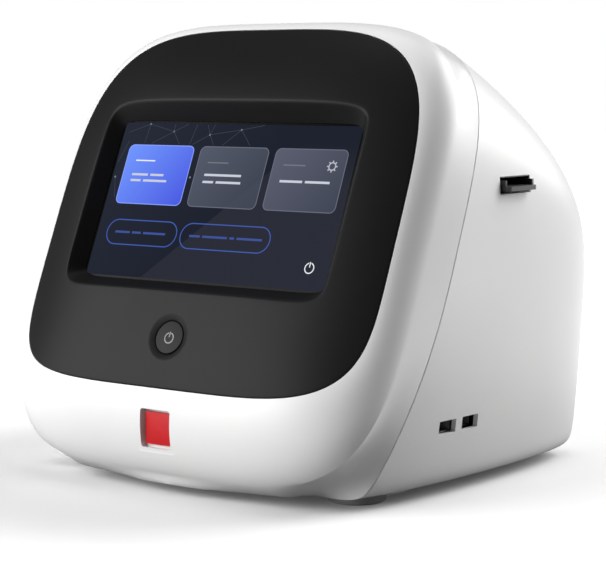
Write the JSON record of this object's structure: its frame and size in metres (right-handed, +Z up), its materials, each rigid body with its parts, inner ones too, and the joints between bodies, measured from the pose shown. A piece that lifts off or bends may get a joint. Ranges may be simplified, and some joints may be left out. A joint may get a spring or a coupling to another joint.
{
  "type": "automated cell counter",
  "caption": "Bench-top cell counter: a moulded case with a leaning touch panel, a motor-driven slide tray in its side and a small inverted microscope inside.",
  "frame": {"origin": "on the bench under the middle of the case's bounding box", "axes": "+Z up, +X to the right as seen from the front, +Y to the back; the screen faces -Y and leans back"},
  "size_m": [0.2503, 0.2458, 0.2364],
  "materials": {
    "case_white": "satin",
    "panel_dark": "satin",
    "badge_red": "satin",
    "button_dark": "satin",
    "board_green": "satin",
    "screen_glass": "polished",
    "steel": "satin",
    "screw_steel": "satin",
    "base_paint": "satin",
    "rubber": "matte",
    "port_black": "satin",
    "tray_black": "satin",
    "alloy": "satin",
    "rod_steel": "polished",
    "motor_dark": "satin",
    "lens_black": "satin",
    "brass": "satin",
    "socket_steel": "satin",
    "fan_black": "satin"
  },
  "bodies": {
    "case": {"front_bezel": "case_white", "face_panel": "panel_dark", "badge_plate": "badge_red", "button_board": "board_green", "touch_glass": "screen_glass", "display_module": "steel", "display_bracket": "steel", "display_screws": "screw_steel", "rear_housing": "case_white", "base_plate": "base_paint", "base_screws": "screw_steel", "foot_front_left": "rubber", "foot_front_right": "rubber", "foot_rear_left": "rubber", "foot_rear_right": "rubber", "slide_port_frame": "port_black", "tray_rods": "rod_steel", "rod_block_inner": "alloy", "rod_block_outer": "alloy", "stage_motor": "motor_dark", "stage_plate": "alloy", "chassis_left": "steel", "chassis_right": "steel", "focus_rods": "rod_steel", "focus_motor": "motor_dark", "optics_base": "alloy", "filter_block": "lens_black", "excitation_lamp": "alloy", "camera_module": "lens_black", "lamp_arm": "alloy", "condenser_lamp": "lens_black", "main_board": "board_green", "board_standoffs": "brass", "usb_board": "board_green", "usb_socket_front": "socket_steel", "usb_socket_rear": "socket_steel", "power_inlet": "port_black", "fan_frame": "fan_black", "fan_screws": "screw_steel"},
    "power_button": {"power_button": "button_dark"},
    "tray": {"slide_tray": "tray_black", "tray_carriage": "alloy"},
    "lead_screw": {"lead_screw": "rod_steel"},
    "focus": {"objective_lens": "lens_black", "focus_carriage": "alloy"},
    "fan_rotor": {"fan_rotor": "fan_black"}
  },
  "joints": [
    {"name": "power_button_press", "type": "slide", "parent": "case", "child": "power_button", "axis": [0, 0.9181, -0.3963], "range_m": [0, 0.0015], "stiffness_N_per_m": 1500, "springref_m": -0.0003},
    {"name": "tray_slide", "type": "slide", "parent": "case", "child": "tray", "axis": [1, 0, 0], "range_m": [-0.06, 0]},
    {"name": "lead_screw_turn", "type": "hinge", "parent": "case", "child": "lead_screw", "pos_m": [0, 0.049, 0.1455], "axis": [1, 0, 0], "range_deg": [-2710, 10]},
    {"name": "focus_slide", "type": "slide", "parent": "case", "child": "focus", "axis": [0, 0, 1], "range_m": [-0.003, 0.003]},
    {"name": "fan_spin", "type": "hinge", "parent": "case", "child": "fan_rotor", "pos_m": [-0.042, 0.11535, 0.0657], "axis": [0, 0.9875, -0.1576], "continuous": true}
  ],
  "couplings": [
    {"joint": "lead_screw_turn", "follows": "tray_slide", "rad_per_m": 785.4}
  ]
}
